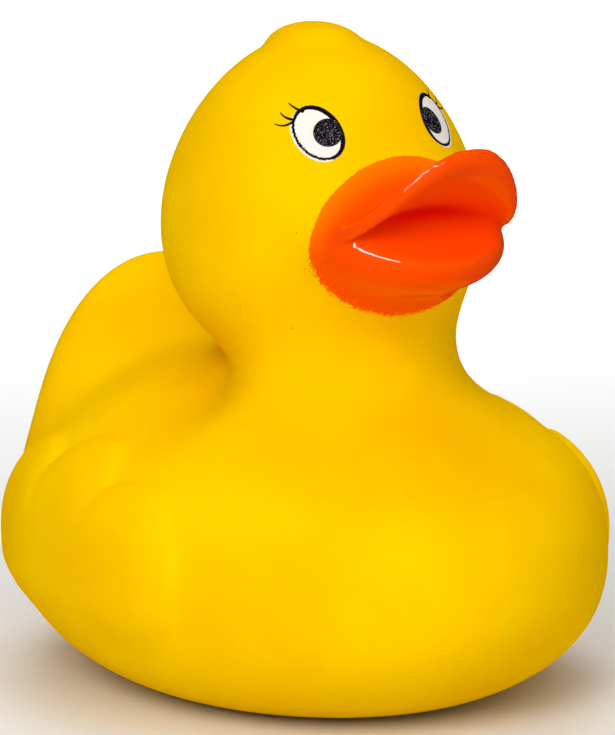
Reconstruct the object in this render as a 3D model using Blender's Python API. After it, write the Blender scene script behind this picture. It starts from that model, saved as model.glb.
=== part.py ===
"""A bath duck: a hollow soft-vinyl shell with a push-in squeaker in its base.

The duck faces -Y and stands on its flat base at z = 0. The shell's outside is one formula: rounded
solids are blended into each other, and the result is turned into a surface by geometry nodes.
The shell is then hollowed out, bored for the squeaker and cut flat underneath.
Lengths in the form's formula are in millimetres, and every object is made in metres.
"""
import math

import bmesh
import bpy

MM = 0.001

# The form's datum lies a little behind the middle of the duck's length (mm).
DATUM_Y = -0.2

# Body: a flattened bun, its back, and a tail that leans back.
BODY_CENTRE = (0.0, -0.8, 18.1)
BODY_RADII = (35.2, 42.2, 20.3)
BODY_SQUARENESS = 2.35
BACK_CENTRE = (0.0, 9.0, 31.0)
BACK_RADII = (21.0, 15.0, 9.7)
TAIL_CENTRE = (0.0, 31.2, 31.0)
TAIL_RADII = (19.0, 9.4, 18.6)
TAIL_TAPER = 0.145
TAIL_LEAN = -18.5

# Wings: overlapping round feather lobes on each flank, with a small step at their edge and then a
# pillow. Each lobe is its place along Y, its height and its radius.
WING_LOBES = ((1.0, 24.3, 8.9), (14.3, 19.6, 11.4), (2.0, 17.0, 12.0), (-10.6, 19.2, 10.6))
WING_STEP = 0.9
WING_DOME = 0.8
WING_EDGE = 0.9
WING_ROUND = 5.0
WING_LOW = 8.0
WING_FADE = 8.0

# Neck, egg-shaped head, cap of down on top, and the round cushion that carries the bill.
NECK_CENTRE = (0.0, -7.9, 44.0)
NECK_RADII = (12.9, 11.8, 16.0)
HEAD_CENTRE = (0.0, -3.75, 60.8)
HEAD_RADII = (19.6, 19.6, 21.1)
HEAD_TAPER = 0.128
TUFT_CENTRE = (0.0, -2.5, 79.0)
TUFT_RADII = (6.0, 7.6, 4.0)
TUFT_SQUARENESS = 2.1
CUSHION_CENTRE = (0.0, -16.0, 58.5)
CUSHION_RADII = (13.2, 11.3, 10.7)

# Upper bill: a curled-up, drooping sheet with a rolled rim.
VISOR_LOWEST = (-24.7, 63.9)
VISOR_CURL = 0.04
VISOR_DROOP = 0.026
VISOR_CENTRE_Y = -25.7
VISOR_RADII = (11.0, 11.7)
VISOR_THICKNESS = 1.6

# Lower bill: a full lip. The mouth is a ball-shaped dish pressed into it, closed above by the visor.
LIP_CENTRE = (0.0, -22.1, 59.0)
LIP_RADII = (12.3, 13.0, 6.2)
LIP_PITCH = 8.0
MOUTH_CENTRE = (0.0, -43.0, 81.6)
MOUTH_RADIUS = 25.0
MOUTH_WIDTH = 1.6
MOUTH_DROOP = 0.014

# Blends between the parts of the form (mm over which two surfaces melt together).
BLEND_BACK = 9.0
BLEND_TAIL = 16.0
BLEND_NECK = 6.0
BLEND_NAPE = 6.0
BLEND_BREAST = 20.0
BREAST_DEPTH = 14.0
BLEND_TUFT = 0.7
BLEND_CUSHION = 4.5
BLEND_LIP = 5.0
BLEND_UNDER_VISOR = 1.0
BLEND_OVER_VISOR = 8.0
OVER_RISE = 4.0
OVER_HALF_WIDTH = 9.0
OVER_FADE = 6.0
MOUTH_EDGE = 1.2

# Shell and squeaker seat.
WALL = 2.0
BASE_WALL = 3.2
SEAT_RADIUS = 8.5
SEAT_DEPTH = 1.4
BORE_RADIUS = 5.4
GAP = 0.3

# Surfaces are sampled on a grid this fine, then thinned to a share of their faces.
OUTER_GRID = 0.9
OUTER_SHARE = 0.078
CAVITY_GRID = 4.0
ROUND_STEPS = 28


class Term:
    """A value or vector inside a node tree, so that the form can be written as sums."""

    def __init__(self, socket):
        self.socket = socket
        self.tree = socket.id_data

    def node(self, kind, settings=(), **inputs):
        made = self.tree.nodes.new(kind)
        for name, setting in dict(settings).items():
            setattr(made, name, setting)
        for name, value in inputs.items():
            place(self.tree, made.inputs[int(name[1:])], value)
        return made

    def maths(self, operation, *values):
        vector = any(is_vector(value) for value in values)
        kind = "ShaderNodeVectorMath" if vector else "ShaderNodeMath"
        sockets = {f"i{number}": value for number, value in enumerate(values)}
        made = self.node(kind, {"operation": operation}, **sockets)
        return Term(made.outputs["Value" if operation == "LENGTH" else 0])

    def __add__(self, other):
        return self.maths("ADD", self, other)

    def __radd__(self, other):
        return self.maths("ADD", other, self)

    def __sub__(self, other):
        return self.maths("SUBTRACT", self, other)

    def __rsub__(self, other):
        return self.maths("SUBTRACT", other, self)

    def __mul__(self, other):
        return self.maths("MULTIPLY", self, other)

    def __rmul__(self, other):
        return self.maths("MULTIPLY", other, self)

    def __truediv__(self, other):
        return self.maths("DIVIDE", self, other)

    def __rtruediv__(self, other):
        return self.maths("DIVIDE", other, self)

    def __pow__(self, other):
        return self.maths("POWER", self, other)

    def __neg__(self):
        return self.maths("MULTIPLY", self, -1.0)


def is_vector(value):
    return isinstance(value, tuple) or (isinstance(value, Term) and value.socket.type == "VECTOR")


def place(tree, socket, value):
    """Link a term to a socket, or store a plain number or vector in it."""
    if isinstance(value, Term):
        tree.links.new(value.socket, socket)
    elif socket.type == "VECTOR" and not isinstance(value, tuple):
        socket.default_value = (value, value, value)
    else:
        socket.default_value = value


def length(vector):
    return vector.maths("LENGTH", vector)


def low(a, b):
    return (a if isinstance(a, Term) else b).maths("MINIMUM", a, b)


def high(a, b):
    return (a if isinstance(a, Term) else b).maths("MAXIMUM", a, b)


def melt(a, b, reach):
    """Union of two distances, filleted over the given reach."""
    return a.maths("SMOOTH_MIN", a, b, reach)


def carve(a, b, reach):
    """Common part of two distances, its edge rounded over the given reach."""
    return a.maths("SMOOTH_MAX", a, b, reach)


def parts_of(vector):
    split = vector.node("ShaderNodeSeparateXYZ", i0=vector)
    return [Term(socket) for socket in split.outputs]


def vector_of(x, y, z):
    terms = [value for value in (x, y, z) if isinstance(value, Term)]
    return Term(terms[0].node("ShaderNodeCombineXYZ", i0=x, i1=y, i2=z).outputs[0])


def pitched(vector, degrees):
    turn = vector.node("ShaderNodeVectorRotate", {"rotation_type": "X_AXIS"}, i0=vector)
    turn.inputs["Angle"].default_value = math.radians(degrees)
    return Term(turn.outputs[0])


def ellipsoid(vector, radii):
    """Near-distance to an ellipsoid about the origin of the given vector."""
    near = length(vector / radii)
    slope = length(vector / tuple(radius * radius for radius in radii))
    return near * (near - 1.0) / high(slope, 1e-6)


def egg(vector, radii, taper):
    """An ellipsoid that narrows towards its top."""
    height = parts_of(vector)[2]
    clipped = low(high(height / radii[2], -1.3), 1.3)
    width = 1.0 - taper * clipped
    return ellipsoid(vector / vector_of(width, width, 1.0), radii) * low(width, 1.0)


def bun(vector, radii, squareness):
    """A round cushion whose section is squarer than an ellipse."""
    x, y, z = parts_of(vector)
    around = high(length(vector_of(x / radii[0], y / radii[1], 0.0)), 1e-4)
    tall = z.maths("ABSOLUTE", z) / radii[2]
    size = high((around ** squareness + tall ** squareness) ** (1.0 / squareness), 1e-4)
    fall = length(vector_of(x / radii[0] ** 2, y / radii[1] ** 2, 0.0)) / around
    rim = (around / size) ** (squareness - 1.0) * fall
    crown = (tall / size) ** (squareness - 1.0) / radii[2]
    return (size - 1.0) / high(length(vector_of(rim, crown, 0.0)), 1e-6)


def step(value):
    """0 to 1 with level ends, as the value goes from 0 to 1."""
    clipped = low(high(value, 0.0), 1.0)
    return clipped * clipped * (3.0 - 2.0 * clipped)


def wing_relief(point):
    """How far the wings stand out, from the side view of their lobes."""
    x, y, z = parts_of(point)
    inside = -50.0
    for along, height, radius in WING_LOBES:
        inside = high(inside, radius - length(vector_of(y - along, z - height, 0.0)))
    slack = 1.0 - low(high(inside / WING_ROUND, 0.0), 1.0)
    relief = WING_STEP * step(inside / WING_EDGE + 0.5) + WING_DOME * (1.0 - slack * slack)
    return relief * step((z - WING_LOW) / WING_FADE)


def trunk(point):
    body = bun(point - BODY_CENTRE, BODY_RADII, BODY_SQUARENESS) - wing_relief(point)
    back = ellipsoid(point - BACK_CENTRE, BACK_RADII)
    tail = egg(pitched(point - TAIL_CENTRE, -TAIL_LEAN), TAIL_RADII, TAIL_TAPER)
    return melt(melt(body, back, BLEND_BACK), tail, BLEND_TAIL)


def head(point):
    neck = ellipsoid(point - NECK_CENTRE, NECK_RADII)
    skull = egg(point - HEAD_CENTRE, HEAD_RADII, HEAD_TAPER)
    return melt(neck, skull, BLEND_NECK)


def torso(point):
    """Trunk and head together: a tight crease at the nape opens into a wide fillet at the breast."""
    ahead = -parts_of(point)[1]
    reach = BLEND_NAPE + (BLEND_BREAST - BLEND_NAPE) * step(ahead / BREAST_DEPTH)
    return melt(trunk(point), head(point), reach)


def visor_middle(point):
    """Height of the visor's middle surface, which curls up ahead and droops to its sides."""
    x, y, z = parts_of(point)
    along = y - VISOR_LOWEST[0]
    return VISOR_LOWEST[1] + VISOR_CURL * along * along - VISOR_DROOP * x * x


def visor(point):
    x, y, z = parts_of(point)
    slope = length(vector_of(1.0, 2.0 * VISOR_CURL * (y - VISOR_LOWEST[0]), 2.0 * VISOR_DROOP * x))
    beyond = high(ellipsoid(vector_of(x, y - VISOR_CENTRE_Y, 0.0), VISOR_RADII + (1.0,)), 0.0)
    return length(vector_of((z - visor_middle(point)) / slope, beyond, 0.0)) - VISOR_THICKNESS / 2.0


def mouth(point):
    """The dish between the bills, which droops to its corners as the visor does."""
    x, y, z = parts_of(point)
    from_centre = vector_of(x, y, z + MOUTH_DROOP * x * x) - MOUTH_CENTRE
    ball = length(from_centre / (MOUTH_WIDTH, 1.0, 1.0)) - MOUTH_RADIUS
    return carve(ball, z - visor_middle(point), 1.0)


def duck(point):
    """Near-distance to the duck's skin in mm, negative inside. The visor's fillet is wide above only."""
    skin = melt(torso(point), bun(point - TUFT_CENTRE, TUFT_RADII, TUFT_SQUARENESS), BLEND_TUFT)
    skin = melt(skin, ellipsoid(point - CUSHION_CENTRE, CUSHION_RADII), BLEND_CUSHION)
    skin = melt(skin, ellipsoid(pitched(point - LIP_CENTRE, -LIP_PITCH), LIP_RADII), BLEND_LIP)
    skin = carve(skin, -mouth(point), MOUTH_EDGE)
    x, y, z = parts_of(point)
    beside = (x.maths("ABSOLUTE", x) - OVER_HALF_WIDTH) / OVER_FADE
    over = step((z - visor_middle(point)) / OVER_RISE) * (1.0 - step(beside))
    reach = BLEND_UNDER_VISOR + (BLEND_OVER_VISOR - BLEND_UNDER_VISOR) * over
    skin = melt(skin, visor(point), reach)
    return carve(skin, -z - GAP, 3.0)


def cavity(point):
    """Near-distance to the hollow, one wall's thickness inside the trunk and head."""
    return carve(torso(point) + WALL, BASE_WALL - parts_of(point)[2], 3.0)


def surface_of(name, formula, grid):
    """A closed mesh where the formula is 0, sampled on a grid of the given size."""
    tree = bpy.data.node_groups.new(name, "GeometryNodeTree")
    tree.interface.new_socket("Geometry", in_out="OUTPUT", socket_type="NodeSocketGeometry")
    place_of = Term(tree.nodes.new("GeometryNodeInputPosition").outputs[0])
    distance = formula(place_of * (1.0 / MM) + (0.0, DATUM_Y, 0.0))
    band = 3.0 * grid
    cube = tree.nodes.new("GeometryNodeVolumeCube")
    place(tree, cube.inputs["Density"], high(band - distance, 0.0))
    low_corner = (-42.0, -50.0, -4.0)
    high_corner = (42.0, 50.0, 90.0)
    cube.inputs["Min"].default_value = [value * MM for value in low_corner]
    cube.inputs["Max"].default_value = [value * MM for value in high_corner]
    for axis, start, end in zip("XYZ", low_corner, high_corner):
        cube.inputs["Resolution " + axis].default_value = round((end - start) / grid)
    mesher = tree.nodes.new("GeometryNodeVolumeToMesh")
    mesher.inputs["Threshold"].default_value = band
    tree.links.new(cube.outputs[0], mesher.inputs[0])
    skin = mesher.outputs[0]
    normal = Term(tree.nodes.new("GeometryNodeInputNormal").outputs[0])
    for repeat in range(3):
        move = tree.nodes.new("GeometryNodeSetPosition")
        tree.links.new(skin, move.inputs["Geometry"])
        place(tree, move.inputs["Offset"], normal * (distance * -MM))
        skin = move.outputs[0]
    tree.links.new(skin, tree.nodes.new("NodeGroupOutput").inputs[0])
    guide = bpy.data.objects.new(name + "_guide", bpy.data.meshes.new(name + "_guide"))
    bpy.context.collection.objects.link(guide)
    guide.modifiers.new("form", "NODES").node_group = tree
    evaluated = guide.evaluated_get(bpy.context.evaluated_depsgraph_get())
    mesh = bpy.data.meshes.new_from_object(evaluated)
    bpy.data.objects.remove(guide)
    return mesh


def finish(name, colour, roughness):
    material = bpy.data.materials.new(name)
    material.use_nodes = True
    shader = material.node_tree.nodes["Principled BSDF"]
    shader.inputs["Base Color"].default_value = colour + (1.0,)
    shader.inputs["Roughness"].default_value = roughness
    shader.inputs["Metallic"].default_value = 0.0
    return material


def piece(name, mesh, material):
    made = bpy.data.objects.new(name, mesh)
    bpy.context.collection.objects.link(made)
    mesh.materials.clear()
    mesh.materials.append(material)
    mesh.shade_smooth()
    mesh.set_sharp_from_angle(angle=math.radians(40.0))
    return made


def cutter(name, mesh):
    made = bpy.data.objects.new(name, mesh)
    bpy.context.collection.objects.link(made)
    made.hide_render = True
    made.display_type = "WIRE"
    return made


def turned(name, outline, steps=ROUND_STEPS):
    """Spin a closed outline of (radius, height) points, in mm, about the Z axis."""
    mesh = bpy.data.meshes.new(name)
    rows = []
    for number in range(steps):
        angle = 2.0 * math.pi * number / steps
        rows.append([(r * MM * math.cos(angle), r * MM * math.sin(angle), z * MM) for r, z in outline])
    count = len(outline)
    points = [point for row in rows for point in row]
    faces = []
    for number in range(steps):
        after = (number + 1) % steps
        for corner in range(count):
            beside = (corner + 1) % count
            faces.append((number * count + corner, number * count + beside,
                          after * count + beside, after * count + corner))
    mesh.from_pydata(points, [], faces)
    shape = bmesh.new()
    shape.from_mesh(mesh)
    bmesh.ops.recalc_face_normals(shape, faces=shape.faces)
    shape.to_mesh(mesh)
    shape.free()
    return mesh


def drum(name, radius, bottom, top, steps=ROUND_STEPS):
    """A plain solid cylinder on the Z axis, in mm."""
    mesh = bpy.data.meshes.new(name)
    shape = bmesh.new()
    bmesh.ops.create_cone(shape, cap_ends=True, segments=steps, radius1=radius * MM,
                          radius2=radius * MM, depth=(top - bottom) * MM)
    bmesh.ops.translate(shape, vec=(0.0, 0.0, (top + bottom) / 2.0 * MM), verts=shape.verts)
    shape.to_mesh(mesh)
    shape.free()
    return mesh


def block(name, size, centre):
    """A plain box, in mm."""
    mesh = bpy.data.meshes.new(name)
    shape = bmesh.new()
    bmesh.ops.create_cube(shape, size=MM)
    bmesh.ops.scale(shape, vec=size, verts=shape.verts)
    bmesh.ops.translate(shape, vec=[value * MM for value in centre], verts=shape.verts)
    shape.to_mesh(mesh)
    shape.free()
    return mesh


def cut(target, name, tool, operation="DIFFERENCE"):
    boolean = target.modifiers.new(name, "BOOLEAN")
    boolean.operation = operation
    boolean.solver = "EXACT"
    boolean.object = tool


def duck_shell():
    vinyl = finish("yellow_vinyl", (1.0, 0.55, 0.0), 0.45)
    shell = piece("duck_shell", surface_of("duck_form", duck, OUTER_GRID), vinyl)
    thin = shell.modifiers.new("thin", "DECIMATE")
    thin.ratio = OUTER_SHARE
    thin.use_collapse_triangulate = True
    hollow = cutter("cutter_hollow", surface_of("hollow_form", cavity, CAVITY_GRID))
    cut(shell, "hollow", hollow)
    cut(shell, "flat_base", cutter("cutter_flat_base", block("floor", (120.0, 120.0, 10.0), (0.0, 0.0, -5.0))))
    cut(shell, "seat", cutter("cutter_seat", drum("seat", SEAT_RADIUS, -2.0, SEAT_DEPTH)))
    cut(shell, "bore", cutter("cutter_bore", drum("bore", BORE_RADIUS, -2.0, BASE_WALL + 2.0)))


# Squeaker sizes (mm), worked out from the seat and bore with a gap all round.
FLANGE_RADIUS = SEAT_RADIUS - GAP
FLANGE_TOP = SEAT_DEPTH - GAP
BARREL_RADIUS = BORE_RADIUS - GAP
BARB_BOTTOM = BASE_WALL + GAP
BARB_RADIUS = BORE_RADIUS + 0.9
BARREL_TOP = BARB_BOTTOM + 4.2
CHAMBER_RADIUS = BARREL_RADIUS - 1.2
CHAMBER_FLOOR = FLANGE_TOP + 0.7
AIR_HOLE_RADIUS = 1.2
REED_SEAT_RADIUS = CHAMBER_RADIUS - GAP
REED_SEAT_BOTTOM = CHAMBER_FLOOR + GAP
REED_SEAT_TOP = BARREL_TOP - 1.2
REED_SIZE = (2.6, 6.0, 0.25)


def squeaker_housing():
    """Turned cup: flange in the seat, barrel through the bore, barb above it, open top."""
    outline = [
        (AIR_HOLE_RADIUS, GAP), (FLANGE_RADIUS, GAP), (FLANGE_RADIUS, FLANGE_TOP),
        (BARREL_RADIUS, FLANGE_TOP), (BARREL_RADIUS, BARB_BOTTOM), (BARB_RADIUS, BARB_BOTTOM),
        (BARB_RADIUS, BARB_BOTTOM + 0.8), (BARREL_RADIUS, BARREL_TOP), (CHAMBER_RADIUS, BARREL_TOP),
        (CHAMBER_RADIUS, CHAMBER_FLOOR), (AIR_HOLE_RADIUS, CHAMBER_FLOOR),
    ]
    white = finish("white_plastic", (0.80, 0.80, 0.76), 0.4)
    piece("squeaker_housing", turned("squeaker_housing", outline), white)


def squeaker_reed_seat():
    """Ring that stands in the cup and carries the reed over its air channel."""
    outline = [
        (AIR_HOLE_RADIUS, REED_SEAT_BOTTOM), (REED_SEAT_RADIUS, REED_SEAT_BOTTOM),
        (REED_SEAT_RADIUS, REED_SEAT_TOP), (AIR_HOLE_RADIUS, REED_SEAT_TOP),
    ]
    grey = finish("grey_plastic", (0.45, 0.46, 0.47), 0.5)
    piece("squeaker_reed_seat", turned("squeaker_reed_seat", outline), grey)


def squeaker_reed():
    """Thin springy strip that lies over the seat's channel and buzzes."""
    height = REED_SEAT_TOP + GAP + REED_SIZE[2] / 2.0
    film = finish("clear_film", (0.75, 0.78, 0.80), 0.3)
    piece("squeaker_reed", block("squeaker_reed", REED_SIZE, (0.0, 0.0, height)), film)


for item in list(bpy.data.objects):
    bpy.data.objects.remove(item)

duck_shell()
squeaker_housing()
squeaker_reed_seat()
squeaker_reed()
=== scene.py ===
# %% [markdown]
# # A bath duck
# The real duck is one hollow skin of soft yellow vinyl. It is slush-moulded: liquid vinyl sets as an
# even wall inside a hot, closed mould. The bill is then sprayed orange, the eyes are pad-printed, and a
# small plastic squeaker is pushed into a hole in the base. So there is one big shape to model well, and
# the rest of the work is finish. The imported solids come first, because every piece here fits them.

# %% Load the solids
import math

import bmesh
import bpy
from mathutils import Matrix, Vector


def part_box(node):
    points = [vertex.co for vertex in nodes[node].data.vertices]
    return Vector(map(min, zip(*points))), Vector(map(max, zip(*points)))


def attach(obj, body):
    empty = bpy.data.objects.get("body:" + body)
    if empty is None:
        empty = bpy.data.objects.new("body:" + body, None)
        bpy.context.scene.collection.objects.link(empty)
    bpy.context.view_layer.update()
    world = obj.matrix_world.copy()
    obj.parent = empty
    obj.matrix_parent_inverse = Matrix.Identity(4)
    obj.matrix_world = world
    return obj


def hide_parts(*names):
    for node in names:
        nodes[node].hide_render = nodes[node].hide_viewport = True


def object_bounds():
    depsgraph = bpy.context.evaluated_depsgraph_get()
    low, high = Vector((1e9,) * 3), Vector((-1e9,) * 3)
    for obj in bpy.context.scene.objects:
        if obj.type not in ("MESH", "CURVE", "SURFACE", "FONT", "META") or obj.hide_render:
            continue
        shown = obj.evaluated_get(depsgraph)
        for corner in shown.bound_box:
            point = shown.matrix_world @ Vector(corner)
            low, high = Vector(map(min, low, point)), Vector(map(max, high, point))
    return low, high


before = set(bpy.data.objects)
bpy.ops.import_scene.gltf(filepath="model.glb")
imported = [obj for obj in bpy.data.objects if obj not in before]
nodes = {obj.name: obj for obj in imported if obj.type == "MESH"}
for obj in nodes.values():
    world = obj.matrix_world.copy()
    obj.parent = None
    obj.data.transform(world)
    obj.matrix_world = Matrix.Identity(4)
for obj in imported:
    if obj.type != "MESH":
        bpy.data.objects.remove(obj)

MM = 0.001
cad_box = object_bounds()
print("solids:", sorted(nodes))
print("size in mm:", [round((high - low) / MM, 1) for low, high in zip(*cad_box)])

# %% [markdown]
# ## Camera
# A long lens from a little above shows the duck without stretching its bill. The view is set by three
# numbers that mean something on a table: how far round the camera has walked, how high it looks down
# from, and how far off it is. The lens follows from the height of the picture at the duck.

# %% Camera
VIEW_ROUND = math.radians(-31.45)
VIEW_DOWN = math.radians(11.0)
VIEW_DISTANCE = 600 * MM
PICTURE_HEIGHT = 91.875 * MM
LOOK_AT = Vector((0.45, 0.26, 39.25)) * MM

towards_camera = Vector((math.sin(VIEW_ROUND) * math.cos(VIEW_DOWN),
                         -math.cos(VIEW_ROUND) * math.cos(VIEW_DOWN),
                         math.sin(VIEW_DOWN)))
lens = bpy.data.cameras.new("camera")
lens.sensor_fit = "VERTICAL"
lens.angle_y = 2 * math.atan(PICTURE_HEIGHT / 2 / VIEW_DISTANCE)
lens.clip_start = 10 * MM
camera = bpy.data.objects.new("camera", lens)
bpy.context.collection.objects.link(camera)
camera.location = LOOK_AT + towards_camera * VIEW_DISTANCE
camera.rotation_euler = towards_camera.to_track_quat("Z", "Y").to_euler()
bpy.context.scene.camera = camera
print("focal length in mm:", round(lens.lens, 1))

# %% [markdown]
# ## Sums instead of wires
# Both the shape and the colours below are sums over a point in space. Wiring Math nodes by hand hides
# such a sum, so one small class wraps a socket: adding, subtracting, multiplying or dividing two terms
# adds the node that does it. A tuple stands for a vector, and then the node is a Vector Math node.

# %% A term of a sum
class Term:
    """A number or vector inside a node tree."""

    def __init__(self, socket):
        self.socket = socket
        self.tree = socket.id_data

    def node(self, kind, settings=(), inputs=()):
        """Any other node: its type, its settings, then the values or links of its sockets."""
        made = self.tree.nodes.new(kind)
        for name, setting in dict(settings).items():
            setattr(made, name, setting)
        for name, value in dict(inputs).items():
            feed(self.tree, made.inputs[name], value)
        return made

    def maths(self, operation, *values):
        vector = any(is_vector(value) for value in values)
        kind = "ShaderNodeVectorMath" if vector else "ShaderNodeMath"
        made = self.node(kind, {"operation": operation}, dict(enumerate(values)))
        return Term(made.outputs["Value" if operation == "LENGTH" else 0])

    def __add__(self, other):
        return self.maths("ADD", self, other)

    def __radd__(self, other):
        return self.maths("ADD", other, self)

    def __sub__(self, other):
        return self.maths("SUBTRACT", self, other)

    def __rsub__(self, other):
        return self.maths("SUBTRACT", other, self)

    def __mul__(self, other):
        return self.maths("MULTIPLY", self, other)

    def __rmul__(self, other):
        return self.maths("MULTIPLY", other, self)

    def __truediv__(self, other):
        return self.maths("DIVIDE", self, other)

    def __rtruediv__(self, other):
        return self.maths("DIVIDE", other, self)

    def __pow__(self, other):
        return self.maths("POWER", self, other)

    def __neg__(self):
        return self.maths("MULTIPLY", self, -1.0)


def is_vector(value):
    return isinstance(value, tuple) or (isinstance(value, Term) and value.socket.type == "VECTOR")


def feed(tree, socket, value):
    """Link a term to a socket, or store a plain value in it."""
    if isinstance(value, Term):
        tree.links.new(value.socket, socket)
    elif socket.type == "VECTOR" and not isinstance(value, tuple):
        socket.default_value = (value, value, value)
    else:
        socket.default_value = value


# %% Helpers on terms
def term_of(*values):
    return next(value for value in values if isinstance(value, Term))


def length(vector):
    return vector.maths("LENGTH", vector)


def low(a, b):
    return term_of(a, b).maths("MINIMUM", a, b)


def high(a, b):
    return term_of(a, b).maths("MAXIMUM", a, b)


def size_of(value):
    return value.maths("ABSOLUTE", value)


def parts_of(vector):
    return [Term(socket) for socket in vector.node("ShaderNodeSeparateXYZ", inputs={0: vector}).outputs]


def vector_of(x, y, z):
    made = term_of(x, y, z).node("ShaderNodeCombineXYZ", inputs={0: x, 1: y, 2: z})
    return Term(made.outputs[0])


def step(value):
    """0 to 1 with level ends, while the value goes from 0 to 1."""
    clipped = low(high(value, 0.0), 1.0)
    return clipped * clipped * (3.0 - 2.0 * clipped)


print("a term can be added, subtracted, multiplied, divided and raised to a power")

# %% [markdown]
# ## The duck's form
# A duck like this has no flat or turned surface. It could be pushed out of a subdivided cage, but its
# parts are simple solids that melt into each other: a bun for the body, an egg for the head, a leaning
# egg for the tail. So each part is written as a distance in millimetres, 0 on its surface and negative
# inside, and two parts are joined by the smooth minimum of their distances. The reach of that minimum
# is the fillet between them: tight at the nape, wide at the breast.

# %% Blends and solids
def melt(a, b, reach):
    """Union of two distances, with a fillet."""
    return a.maths("SMOOTH_MIN", a, b, reach)


def carve(a, b, reach):
    """Common part of two distances, with its edge rounded."""
    return a.maths("SMOOTH_MAX", a, b, reach)


def pitched(vector, degrees):
    turn = vector.node("ShaderNodeVectorRotate", {"rotation_type": "X_AXIS"},
                       {"Vector": vector, "Angle": math.radians(degrees)})
    return Term(turn.outputs[0])


def ellipsoid(vector, radii):
    near = length(vector / radii)
    slope = length(vector / tuple(radius * radius for radius in radii))
    return near * (near - 1.0) / high(slope, 1e-6)


def egg(vector, radii, taper):
    """An ellipsoid that narrows towards its top."""
    clipped = low(high(parts_of(vector)[2] / radii[2], -1.3), 1.3)
    width = 1.0 - taper * clipped
    return ellipsoid(vector / vector_of(width, width, 1.0), radii) * low(width, 1.0)


def bun(vector, radii, squareness):
    """A round cushion whose section is squarer than an ellipse."""
    x, y, z = parts_of(vector)
    around = high(length(vector_of(x / radii[0], y / radii[1], 0.0)), 1e-4)
    tall = size_of(z) / radii[2]
    size = high((around ** squareness + tall ** squareness) ** (1.0 / squareness), 1e-4)
    fall = length(vector_of(x / radii[0] ** 2, y / radii[1] ** 2, 0.0)) / around
    rim = (around / size) ** (squareness - 1.0) * fall
    crown = (tall / size) ** (squareness - 1.0) / radii[2]
    return (size - 1.0) / high(length(vector_of(rim, crown, 0.0)), 1e-6)


# %% Body, wings and tail
# The form's own middle lies a hair behind the middle of the duck's length.
DATUM = (0.0, -0.2, 0.0)
BODY_CENTRE, BODY_RADII, BODY_SQUARENESS = (0.0, -0.8, 18.1), (35.2, 42.2, 20.3), 2.35
BACK_CENTRE, BACK_RADII = (0.0, 9.0, 31.0), (21.0, 15.0, 9.7)
TAIL_CENTRE, TAIL_RADII, TAIL_TAPER, TAIL_LEAN = (0.0, 31.2, 31.0), (19.0, 9.4, 18.6), 0.145, 18.5
BACK_FILLET, TAIL_FILLET = 9.0, 16.0

# Each feather lobe of a wing: its place along Y, its height and its radius.
WING_LOBES = ((1.0, 24.3, 8.9), (14.3, 19.6, 11.4), (2.0, 17.0, 12.0), (-10.6, 19.2, 10.6))
WING_STEP, WING_DOME, WING_EDGE, WING_ROUND = 0.9, 0.8, 0.9, 5.0
WING_LOW, WING_FADE = 8.0, 8.0


def wing_relief(point):
    """How far a wing stands out: a small step at its edge, then a pillow."""
    x, y, z = parts_of(point)
    inside = -50.0
    for along, height, radius in WING_LOBES:
        inside = high(inside, radius - length(vector_of(y - along, z - height, 0.0)))
    slack = 1.0 - low(high(inside / WING_ROUND, 0.0), 1.0)
    relief = WING_STEP * step(inside / WING_EDGE + 0.5) + WING_DOME * (1.0 - slack * slack)
    return relief * step((z - WING_LOW) / WING_FADE)


def trunk(point):
    body = bun(point - BODY_CENTRE, BODY_RADII, BODY_SQUARENESS) - wing_relief(point)
    back = ellipsoid(point - BACK_CENTRE, BACK_RADII)
    tail = egg(pitched(point - TAIL_CENTRE, TAIL_LEAN), TAIL_RADII, TAIL_TAPER)
    return melt(melt(body, back, BACK_FILLET), tail, TAIL_FILLET)


# %% Neck and head
NECK_CENTRE, NECK_RADII = (0.0, -7.9, 44.0), (12.9, 11.8, 16.0)
HEAD_CENTRE, HEAD_RADII, HEAD_TAPER = (0.0, -3.75, 60.8), (19.6, 19.6, 21.1), 0.128
NECK_FILLET, NAPE_FILLET, BREAST_FILLET, BREAST_DEPTH = 6.0, 6.0, 20.0, 14.0


def torso(point):
    """Trunk, neck and head: a tight crease at the nape opens into a wide fillet at the breast."""
    head = melt(ellipsoid(point - NECK_CENTRE, NECK_RADII),
                egg(point - HEAD_CENTRE, HEAD_RADII, HEAD_TAPER), NECK_FILLET)
    ahead = -parts_of(point)[1]
    reach = NAPE_FILLET + (BREAST_FILLET - NAPE_FILLET) * step(ahead / BREAST_DEPTH)
    return melt(trunk(point), head, reach)


# %% Bill
TUFT_CENTRE, TUFT_RADII, TUFT_SQUARENESS = (0.0, -2.5, 79.0), (6.0, 7.6, 4.0), 2.1
CUSHION_CENTRE, CUSHION_RADII = (0.0, -16.0, 58.5), (13.2, 11.3, 10.7)
VISOR_LOWEST, VISOR_CURL, VISOR_DROOP = (-24.7, 63.9), 0.04, 0.026
VISOR_CENTRE_Y, VISOR_RADII, VISOR_THICKNESS = -25.7, (11.0, 11.7), 1.6
LIP_CENTRE, LIP_RADII, LIP_PITCH = (0.0, -22.1, 59.0), (12.3, 13.0, 6.2), 8.0
MOUTH_CENTRE, MOUTH_RADIUS, MOUTH_WIDTH, MOUTH_DROOP = (0.0, -43.0, 81.6), 25.0, 1.6, 0.014
TUFT_FILLET, CUSHION_FILLET, LIP_FILLET, UNDER_FILLET, OVER_FILLET = 0.7, 4.5, 5.0, 1.0, 8.0
ROOF_EDGE, MOUTH_EDGE, BASE_EDGE, BASE_CUT = 1.0, 1.2, 3.0, -0.3
OVER_RISE, OVER_HALF_WIDTH, OVER_FADE = 4.0, 9.0, 6.0


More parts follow.
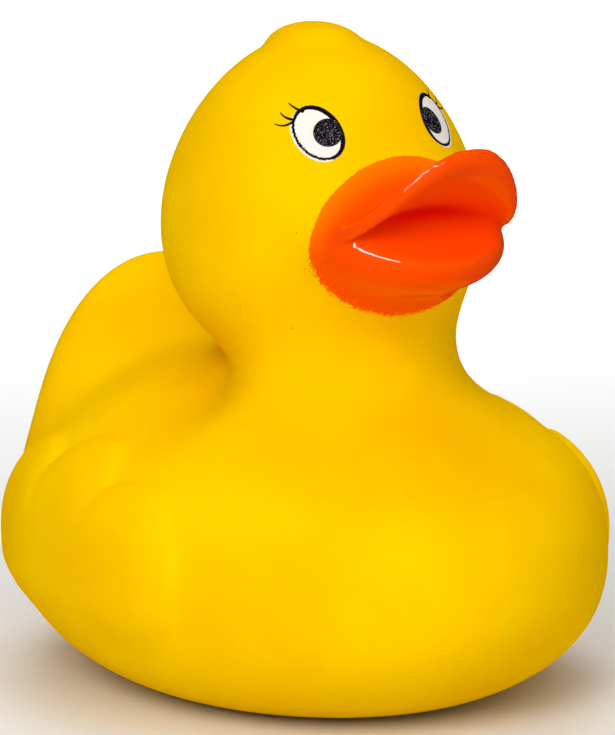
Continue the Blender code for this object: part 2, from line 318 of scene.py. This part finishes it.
def visor_middle(point):
    """Height of the visor's middle surface, which curls up ahead and droops to its sides."""
    x, y, z = parts_of(point)
    along = y - VISOR_LOWEST[0]
    return VISOR_LOWEST[1] + VISOR_CURL * along * along - VISOR_DROOP * x * x


def visor(point):
    """The upper bill: a curved sheet with a rolled rim."""
    x, y, z = parts_of(point)
    slope = length(vector_of(1.0, 2.0 * VISOR_CURL * (y - VISOR_LOWEST[0]), 2.0 * VISOR_DROOP * x))
    beyond = high(ellipsoid(vector_of(x, y - VISOR_CENTRE_Y, 0.0), VISOR_RADII + (1.0,)), 0.0)
    return length(vector_of((z - visor_middle(point)) / slope, beyond, 0.0)) - VISOR_THICKNESS / 2.0


def mouth(point):
    """The dish between the bills, which droops to its corners as the visor does."""
    x, y, z = parts_of(point)
    from_centre = vector_of(x, y, z + MOUTH_DROOP * x * x) - MOUTH_CENTRE
    ball = length(from_centre / (MOUTH_WIDTH, 1.0, 1.0)) - MOUTH_RADIUS
    return carve(ball, z - visor_middle(point), ROOF_EDGE)


def skin(point, inset):
    """The whole duck. The visor's fillet is wide above only, and the base is cut off flat later."""
    form = melt(torso(point), bun(point - TUFT_CENTRE, TUFT_RADII, TUFT_SQUARENESS), TUFT_FILLET)
    form = melt(form, ellipsoid(point - CUSHION_CENTRE, CUSHION_RADII), CUSHION_FILLET)
    form = melt(form, ellipsoid(pitched(point - LIP_CENTRE, -LIP_PITCH), LIP_RADII), LIP_FILLET)
    form = carve(form, -mouth(point), MOUTH_EDGE)
    x, y, z = parts_of(point)
    beside = (size_of(x) - OVER_HALF_WIDTH) / OVER_FADE
    over = step((z - visor_middle(point)) / OVER_RISE) * (1.0 - step(beside))
    form = melt(form, visor(point), UNDER_FILLET + (OVER_FILLET - UNDER_FILLET) * over)
    return carve(form, BASE_CUT - z, BASE_EDGE) + inset


# The vinyl is thicker over the base, where it pools in the mould.
BASE_WALL = 3.2


def hollow(point, inset):
    """The space inside the wall. The thin bill fills up solid in the mould."""
    return carve(torso(point) + inset, BASE_WALL - parts_of(point)[2], BASE_EDGE)


print("the form is", len(WING_LOBES), "wing lobes and nine solids, melted together")

# %% [markdown]
# ## From a formula to a surface
# Geometry nodes can sample a formula on a grid (Volume Cube) and skin the place where it is 0 (Volume to
# Mesh). That skin is stepped, so every point is then slid along its normal by its own distance to the
# form, three times over: after that the points lie on the formula itself, however coarse the grid was.

# %% A tree that skins a formula
SAMPLED_LOW, SAMPLED_HIGH = (-42.0, -50.0, -4.0), (42.0, 50.0, 90.0)
SLIDES = 3


def skin_tree(name, formula):
    """Group with two sizes, the grid and the inset in mm, and a material as its inputs."""
    tree = bpy.data.node_groups.new(name, "GeometryNodeTree")
    for label, kind in (("Grid", "Float"), ("Inset", "Float"), ("Skin", "Material")):
        tree.interface.new_socket(label, in_out="INPUT", socket_type="NodeSocket" + kind)
    tree.interface.new_socket("Geometry", in_out="OUTPUT", socket_type="NodeSocketGeometry")
    start = tree.nodes.new("NodeGroupInput")
    grid, inset = Term(start.outputs["Grid"]), Term(start.outputs["Inset"])
    here = Term(tree.nodes.new("GeometryNodeInputPosition").outputs[0])
    distance = formula(here * (1.0 / MM) + DATUM, inset)
    band = 3.0 * grid
    box_sides = {}
    for axis, start_mm, end_mm in zip("XYZ", SAMPLED_LOW, SAMPLED_HIGH):
        box_sides["Resolution " + axis] = (end_mm - start_mm) / grid
    corners = {"Min": tuple(v * MM for v in SAMPLED_LOW), "Max": tuple(v * MM for v in SAMPLED_HIGH)}
    density = {"Density": high(band - distance, 0.0)}
    cube = grid.node("GeometryNodeVolumeCube", inputs={**density, **corners, **box_sides})
    volume = Term(cube.outputs[0])
    mesher = grid.node("GeometryNodeVolumeToMesh", inputs={"Volume": volume, "Threshold": band})
    shape = Term(mesher.outputs[0])
    normal = Term(tree.nodes.new("GeometryNodeInputNormal").outputs[0])
    for repeat in range(SLIDES):
        slide = {"Geometry": shape, "Offset": normal * (distance * -MM)}
        shape = Term(grid.node("GeometryNodeSetPosition", inputs=slide).outputs[0])
    real = Term(grid.node("GeometryNodeRealizeInstances", inputs={0: shape}).outputs[0])
    painted = grid.node("GeometryNodeSetMaterial", inputs={"Geometry": real})
    tree.links.new(start.outputs["Skin"], painted.inputs["Material"])
    tree.links.new(painted.outputs[0], tree.nodes.new("NodeGroupOutput").inputs[0])
    return tree


def mesh_from(tree, **inputs):
    """Evaluate a tree once, with its inputs set by their identifiers, and keep the plain mesh."""
    carrier = bpy.data.objects.new(tree.name, bpy.data.meshes.new(tree.name))
    modifier = carrier.modifiers.new("form", "NODES")
    modifier.node_group = tree
    for item in tree.interface.items_tree:
        if item.in_out == "INPUT" and item.name in inputs:
            modifier[item.identifier] = inputs[item.name]
    bpy.context.collection.objects.link(carrier)
    mesh = bpy.data.meshes.new_from_object(carrier.evaluated_get(bpy.context.evaluated_depsgraph_get()))
    bpy.data.objects.remove(carrier)
    return mesh


# %% Skin and hollow
FINE_GRID, QUICK_GRID, HOLLOW_GRID, WALL = 0.62, 1.0, 2.2, 2.0
painted_vinyl = bpy.data.materials.new("painted_vinyl")
skin_grid = FINE_GRID
skin_mesh = mesh_from(skin_tree("duck_skin", skin), Grid=skin_grid, Inset=0.0, Skin=painted_vinyl)
hollow_mesh = mesh_from(skin_tree("duck_hollow", hollow), Grid=HOLLOW_GRID, Inset=WALL, Skin=painted_vinyl)
print("skin faces:", len(skin_mesh.polygons), " hollow faces:", len(hollow_mesh.polygons))

# %% [markdown]
# ## Hollowing and cutting
# The mould leaves a hollow, the base is flat, and a punch and a drill make room for the squeaker. These
# are cuts with tools, so they are made here as cuts: exact Booleans with a hollow, a floor block and two
# drums. The seat drum's radius is read from the imported housing so that the squeaker keeps its clearance.

# %% Cutting tools
GAP = 0.3 * MM
housing_low, housing_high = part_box("squeaker_housing")
seat_radius = housing_high.x + GAP
SEAT_DEPTH, BORE_RADIUS, CUT_STEPS = 1.4 * MM, 5.4 * MM, 96


def drum(name, radius, bottom, top):
    shape = bmesh.new()
    bmesh.ops.create_cone(shape, cap_ends=True, segments=CUT_STEPS, radius1=radius, radius2=radius,
                          depth=top - bottom)
    bmesh.ops.translate(shape, vec=(0.0, 0.0, (top + bottom) / 2.0), verts=shape.verts)
    return tool_from(name, shape)


def block(name, size, centre):
    shape = bmesh.new()
    bmesh.ops.create_cube(shape, size=1.0)
    bmesh.ops.scale(shape, vec=size, verts=shape.verts)
    bmesh.ops.translate(shape, vec=centre, verts=shape.verts)
    return tool_from(name, shape)


def tool_from(name, shape):
    mesh = bpy.data.meshes.new(name)
    shape.to_mesh(mesh)
    shape.free()
    return bpy.data.objects.new(name, mesh)


tools = [
    bpy.data.objects.new("tool_hollow", hollow_mesh),
    block("tool_floor", (0.12, 0.12, 0.01), (0.0, 0.0, -0.005)),
    drum("tool_seat", seat_radius, -2 * MM, SEAT_DEPTH),
    drum("tool_bore", BORE_RADIUS, -2 * MM, (BASE_WALL + 2.0) * MM),
]
print("seat radius in mm:", round(seat_radius / MM, 2))

# %% Cut the shell
duck = bpy.data.objects.new("duck_shell_fine", skin_mesh)
for item in [duck] + tools:
    bpy.context.collection.objects.link(item)
for tool in tools:
    cut = duck.modifiers.new(tool.name, "BOOLEAN")
    cut.operation = "DIFFERENCE"
    cut.solver = "EXACT"
    cut.object = tool
shell_mesh = bpy.data.meshes.new_from_object(duck.evaluated_get(bpy.context.evaluated_depsgraph_get()))
duck.modifiers.clear()
duck.data = shell_mesh
for tool in tools:
    bpy.data.objects.remove(tool)
shell_mesh.materials.clear()
shell_mesh.materials.append(painted_vinyl)

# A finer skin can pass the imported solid's facets by some hundredths of a millimetre: hold it inside.
for vertex in shell_mesh.vertices:
    for axis in range(3):
        vertex.co[axis] = min(max(vertex.co[axis], cad_box[0][axis]), cad_box[1][axis])
shell_mesh.shade_smooth()
shell_mesh.set_sharp_from_angle(angle=math.radians(50.0))
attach(duck, "root")
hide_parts("duck_shell")
triangles = sum(len(face.vertices) - 2 for face in shell_mesh.polygons)
print("fine shell:", triangles, "triangles")

# %% [markdown]
# ## Where the paint goes
# Paint on a duck has places, not seams: a sprayed patch round the bill and a printed eye on each side.
# Both sides are the same, so the patterns read the distance from the middle plane instead of X. The
# bill's patch is an egg on the face that grows with the bill's reach, and a noise breaks up its edge
# into droplets, because the spray mask doesn't touch the duck.

# %% Shader places
def shader_start(material):
    material.use_nodes = True
    tree = material.node_tree
    tree.nodes.clear()
    place = Term(tree.nodes.new("ShaderNodeTexCoord").outputs["Object"])
    return tree, place * (1.0 / MM)


def noise(place, scale, detail=2.0, roughness=0.5):
    made = place.node("ShaderNodeTexNoise", inputs={"Vector": place, "Scale": scale, "Detail": detail,
                                                    "Roughness": roughness})
    return Term(made.outputs["Fac"])


def mix(factor, a, b):
    """Colour a where the factor is 0, colour b where it is 1."""
    made = factor.node("ShaderNodeMix", {"data_type": "RGBA"}, {0: factor, 6: a, 7: b})
    return Term(made.outputs[2])


def rgb(red, green, blue):
    """A colour as seen, given in display values, turned into a colour of light."""
    seen = (red, green, blue)
    return tuple(v / 12.92 if v <= 0.04045 else ((v + 0.055) / 1.055) ** 2.4 for v in seen) + (1.0,)


# %% Bill patch
PATCH_HEIGHT, PATCH_RADII, PATCH_TAPER = 59.8, (12.4, 8.72), 0.02
PATCH_START, PATCH_GROWTH = 21.5, 0.9


def bill_patch(place):
    """How far inside the sprayed patch a point is, in mm; negative outside."""
    x, y, z = parts_of(place)
    ahead = -y
    grown = high(ahead - PATCH_START, 0.0) * PATCH_GROWTH
    up = z - PATCH_HEIGHT
    wide = size_of(x) * (1.0 + PATCH_TAPER * up)
    across = length(vector_of(wide / (PATCH_RADII[0] + grown), up / (PATCH_RADII[1] + grown), 0.0))
    on_front = step((ahead - 6.0) / 3.0)
    return ((1.0 - across) * PATCH_RADII[1] + 1.0) * on_front - 1.0


# %% Eye print
EYE_MIDDLE = (8.52, -16.81, 71.61)
EYE_OUT = (0.848, 0.530, 0.0)
EYE_UP = (-0.288, 0.461, 0.840)
EYE_RADII, EYE_TILT = (3.78, 2.63), math.radians(57.0)
# One of the two prints has slipped a little on the curved head.
EYE_SLIP = (0.1, 0.45)
PUPIL_PLACE, PUPIL_RADIUS = (-1.19, 0.05), 1.78
# Each lash: its root, its tip and how far it sags between them.
LASHES = (
    ((1.85, 2.95), (3.51, 4.20), 0.12),
    ((2.90, 1.90), (4.52, 2.98), 0.22),
    ((3.05, 1.60), (5.17, 1.56), 0.36),
)


def dot(vector, direction):
    made = vector.node("ShaderNodeVectorMath", {"operation": "DOT_PRODUCT"}, {0: vector, 1: direction})
    return Term(made.outputs["Value"])


def eye_plane(place):
    """Outward and upward place on the print, in mm from the eye's middle, the same on both sides."""
    x, y, z = parts_of(place)
    from_middle = vector_of(size_of(x), y, z) - EYE_MIDDLE
    slipped = step(x)
    out = dot(from_middle, EYE_OUT) - slipped * EYE_SLIP[0]
    return out, dot(from_middle, EYE_UP) - slipped * EYE_SLIP[1], y


def eye_oval(out, up):
    """Distance to the eye's oval outline, in mm, negative inside."""
    along = out * math.cos(EYE_TILT) + up * math.sin(EYE_TILT)
    aside = up * math.cos(EYE_TILT) - out * math.sin(EYE_TILT)
    return ellipsoid(vector_of(along, aside, 0.0), EYE_RADII + (1.0,))


def lash(out, up, root, tip, sag):
    """Half-width of one curved, tapering lash minus the distance to its middle line."""
    run = (tip[0] - root[0], tip[1] - root[1])
    reach = math.hypot(*run)
    ahead = (run[0] / reach, run[1] / reach)
    along = ((out - root[0]) * ahead[0] + (up - root[1]) * ahead[1]) / reach
    aside = (up - root[1]) * ahead[0] - (out - root[0]) * ahead[1]
    clipped = low(high(along, 0.0), 1.0)
    bend = 4.0 * sag * clipped * (1.0 - clipped)
    beyond = (along - clipped) * reach
    return 0.21 - 0.13 * clipped - length(vector_of(aside + bend, beyond, 0.0))


print("eye", [2 * r for r in EYE_RADII], "mm across, with", len(LASHES), "lashes")

# %% [markdown]
# ## Painted vinyl
# The vinyl is dyed through: a warm, matt yellow with a faint unevenness from the mould.
# The sprayed paint is thin at the top of its patch and lets yellow through, thick and glossy on the
# bill. The print is flat, and its black has the grain of a worn pad. One Principled shader carries them
# all: the masks mix its colour and set its roughness, its clear coat and a very fine bump.

# %% Painted vinyl
tree, place = shader_start(painted_vinyl)

# Vinyl: broad drifts of tone, plus rare specks of undissolved pigment.
YELLOW, DEEP_YELLOW = rgb(1.0, 0.80, 0.0), rgb(0.97, 0.74, 0.0)
drift = noise(place, 0.045, 3.0)
vinyl = mix(step(drift * 2.0 - 0.5), YELLOW, DEEP_YELLOW)
specks = place.node("ShaderNodeTexVoronoi", {"feature": "F1"},
                    {"Vector": place, "Scale": 0.16, "Randomness": 1.0})
speck_size = Term(specks.outputs["Distance"])
speck = step((0.018 - speck_size) / 0.006)
vinyl = mix(speck * 0.75, vinyl, rgb(0.35, 0.22, 0.02))

# Spray: the edge is soft and broken above, and grainy below.
inside = bill_patch(place)
x, y, z = parts_of(place)
below = step((60.0 - z) / 6.0)
mist = noise(place, 3.2, 2.0, 0.6)
soft = noise(place, 0.35, 2.0)
edge_width = 0.30 + 0.35 * below
spray = step((inside + (mist - 0.5) * (0.5 + 2.2 * below) + (soft - 0.5) * 0.5) / edge_width + 0.5)
# The paint is thin on the mound above the bill, and runs out towards the top of the patch. The deep red
# inside the mouth is painted shade.
PAINT_THIN, PAINT_FULL, MOUTH_SHADE_RED = rgb(1.0, 0.47, 0.0), rgb(1.0, 0.30, 0.0), rgb(1.0, 0.02, 0.0)
mound = step((z - 55.0) / 8.0) * (1.0 - step((-y - 22.0) / 4.0))
near_edge = 1.0 - step((inside - 0.1) / 2.5)
paint = mix(high(mound * 0.9, near_edge * 0.3 * (1.0 - below)), PAINT_FULL, PAINT_THIN)
# Painted shade: deep in the mouth, below the visor's middle, the orange turns dark red where the recess
# lies in shadow.
mouth_shade = step((30.5 + y) / 5.0) * step((-y - 20.0) / 3.0) * step((z - 60.5) / 2.0)
mouth_shade = mouth_shade * step((visor_middle(place) - z) / 1.5)
paint = mix(mouth_shade, paint, MOUTH_SHADE_RED)
grains = step((noise(place, 6.0, 1.0) - 0.60) / 0.05) * below * (1.0 - step((inside - 0.2) / 2.4))
spray = spray * (1.0 - 0.45 * grains)
colour = mix(spray, vinyl, paint)

# Print: white oval, grainy black outline and pupil, lashes.
out, up, front = eye_plane(place)
on_face = step((-4.0 - front) / 2.0) * step((z - 60.0) / 2.0)
oval = eye_oval(out, up)
grain = noise(place, 7.0, 2.0, 0.7)
fringe = noise(place, 5.0, 1.0)
lower_out = step((out * 0.75 - up * 0.65 + 0.6) / 3.0)
line_half = 0.25 + 0.06 * step((up - out) / 3.0) - 0.09 * lower_out
line = step((line_half - size_of(oval + 0.02) + (fringe - 0.5) * (0.10 + 0.35 * lower_out)) / 0.10 + 0.5)
white = step((0.16 + 0.22 * lower_out - oval) / 0.12 + 0.5) * on_face
pupil = length(vector_of(out - PUPIL_PLACE[0], (up - PUPIL_PLACE[1]) * 0.94, 0.0))
pupil_black = step((PUPIL_RADIUS - pupil) / 0.12 + 0.5) * step((0.1 - oval) / 0.1)
lash_black = step(lash(out, up, *LASHES[0]) / 0.10 + 0.5)
for hair in LASHES[1:]:
    lash_black = high(lash_black, step(lash(out, up, *hair) / 0.10 + 0.5))
black = high(high(line, pupil_black), lash_black) * on_face
worn = black * (1.0 - 0.55 * step((grain - 0.60) / 0.06) * pupil_black)
EYE_WHITE, EYE_BLACK = rgb(0.93, 0.91, 0.87), rgb(0.07, 0.06, 0.10)
colour = mix(white, colour, EYE_WHITE)
colour = mix(worn, colour, EYE_BLACK)

# Surface: matt vinyl, glossy paint, flat print.
bill_gloss = spray * step((-y - 22.0 - 5.0 * step((z - 61.0) / 2.0)) / 3.0)
print_flat = high(white, black)
roughness = 0.50 - 0.25 * bill_gloss + 0.06 * print_flat + (noise(place, 0.6) - 0.5) * 0.08
coat = 0.5 * bill_gloss
ripple = noise(place, 0.5, 2.0) * 0.06 + noise(place, 14.0, 1.0) * 0.004 + (mist * spray * below) * 0.012
bump = place.node("ShaderNodeBump", inputs={"Height": ripple * MM, "Distance": 1.0, "Strength": 1.0})
surface = place.node("ShaderNodeBsdfPrincipled", inputs={
    "Base Color": colour, "Roughness": roughness, "Coat Weight": coat, "Coat Roughness": 0.04,
    "Specular IOR Level": 0.0, "Normal": Term(bump.outputs[0])})
place.node("ShaderNodeOutputMaterial", inputs={0: Term(surface.outputs[0])})
print("painted vinyl:", len(tree.nodes), "nodes")

# %% [markdown]
# ## Squeaker
# The squeaker is only seen from below: a white plastic flange with an air hole. Its solids are already
# the right shape, so they stay and get finishes of their own: moulded plastic is a little mottled and
# dull, with fine grain, and its tool marks run round the axis.

# %% Squeaker finishes
def moulded(name, colour, darker, roughness, grain_size):
    material = bpy.data.materials.new(name)
    own_tree, own_place = shader_start(material)
    mottle = noise(own_place, 0.8, 3.0)
    px, py, pz = parts_of(own_place)
    rings = length(vector_of(px, py, 0.0)) * 9.0
    ring_wave = rings.maths("SINE", rings)
    shade = mix(step(mottle * 1.6 - 0.3), colour, darker)
    height = noise(own_place, grain_size, 2.0) * 0.01 + ring_wave * 0.002
    relief = own_place.node("ShaderNodeBump", inputs={"Height": height * MM, "Distance": 1.0})
    shader = own_place.node("ShaderNodeBsdfPrincipled", inputs={
        "Base Color": shade, "Roughness": roughness + (mottle - 0.5) * 0.1,
        "Normal": Term(relief.outputs[0])})
    own_place.node("ShaderNodeOutputMaterial", inputs={0: Term(shader.outputs[0])})
    return material


finishes = {
    "squeaker_housing": moulded("white_plastic", rgb(0.92, 0.91, 0.88), rgb(0.86, 0.85, 0.80), 0.42, 3.0),
    "squeaker_reed_seat": moulded("grey_plastic", rgb(0.68, 0.69, 0.70), rgb(0.60, 0.61, 0.62), 0.5, 3.0),
    "squeaker_reed": moulded("clear_film", rgb(0.86, 0.88, 0.90), rgb(0.80, 0.82, 0.85), 0.25, 6.0),
}
for name, material in finishes.items():
    nodes[name].data.materials.clear()
    nodes[name].data.materials.append(material)
print("finished:", sorted(finishes))

# %% [markdown]
# ## Table and light
# A pale floor runs far behind the duck, and soft lights stand round the camera: one on each side and one
# above. Big lights close by make matt vinyl look soft, but their wide reflections would wash out the
# wet-looking bill, so its clear coat sees neither them nor the floor. A long narrow strip does the
# opposite: it only shows in the gloss, and draws the thin bright lines on the rim of the bill.

# %% Floor
FLOOR_SIZE = 8.0
bpy.ops.mesh.primitive_plane_add(size=FLOOR_SIZE, location=(0.0, 0.0, 0.0))
floor = bpy.context.object
floor.name = "floor"
floor_paint = bpy.data.materials.new("pale_floor")
floor_tree, floor_place = shader_start(floor_paint)
cloudy = noise(floor_place, 0.01, 2.0)
floor_shader = floor_place.node("ShaderNodeBsdfPrincipled", inputs={
    "Base Color": mix(cloudy, rgb(0.93, 0.93, 0.93), rgb(0.92, 0.92, 0.915)), "Roughness": 0.8,
    "Specular IOR Level": 0.1})
floor_place.node("ShaderNodeOutputMaterial", inputs={0: Term(floor_shader.outputs[0])})
floor.data.materials.append(floor_paint)
floor.visible_glossy = False
print("floor:", FLOOR_SIZE, "m")

# %% Lights
def softbox(name, round_degrees, up_degrees, distance, size, power):
    """An area light that faces the middle of the duck and isn't mirrored in the gloss."""
    light = bpy.data.lights.new(name, "AREA")
    light.shape = "RECTANGLE"
    light.size, light.size_y = size
    light.energy = power
    lamp = bpy.data.objects.new(name, light)
    bpy.context.collection.objects.link(lamp)
    turn, rise = VIEW_ROUND + math.radians(round_degrees), math.radians(up_degrees)
    way = Vector((math.sin(turn) * math.cos(rise), -math.cos(turn) * math.cos(rise), math.sin(rise)))
    lamp.location = LOOK_AT + way * distance
    lamp.rotation_euler = way.to_track_quat("Z", "Y").to_euler()
    lamp.visible_glossy = False
    return lamp


# Each light: how far round from the camera, how high, its distance, size and power.
softbox("key", -20.0, 30.0, 1.0, (0.5, 0.5), 4.5)
softbox("left", -48.0, 14.0, 1.0, (1.2, 1.2), 0.7)
softbox("right", 35.0, 20.0, 1.0, (1.2, 1.2), 3.2)
softbox("above", 4.0, 52.0, 1.0, (1.2, 1.2), 5.0)

# The strip for the highlights: seen by the gloss alone.
strip = softbox("strip", -24.0, 30.0, 1.0, (0.75, 0.14), 16.0)
strip.visible_glossy = True
strip.visible_diffuse = False

# A wide light over the far floor only, so that the floor stays pale behind the duck.
backdrop = softbox("backdrop", 180.0, 42.0, 1.4, (1.6, 1.6), 14.0)
backdrop.rotation_euler = (0.0, 0.0, VIEW_ROUND)
backdrop.data.spread = math.radians(70.0)
world = bpy.data.worlds.new("studio")
world.use_nodes = True
sky = world.node_tree.nodes["Background"]
sky.inputs["Color"].default_value = (1.0, 1.0, 1.0, 1.0)
# The sky gives hardly any light, but is a pale backcloth where it is seen past the floor.
seen = Term(world.node_tree.nodes.new("ShaderNodeLightPath").outputs["Is Camera Ray"])
feed(world.node_tree, sky.inputs["Strength"], seen * 0.78 + 0.05)
bpy.context.scene.world = world
bpy.context.scene.view_settings.view_transform = "Standard"
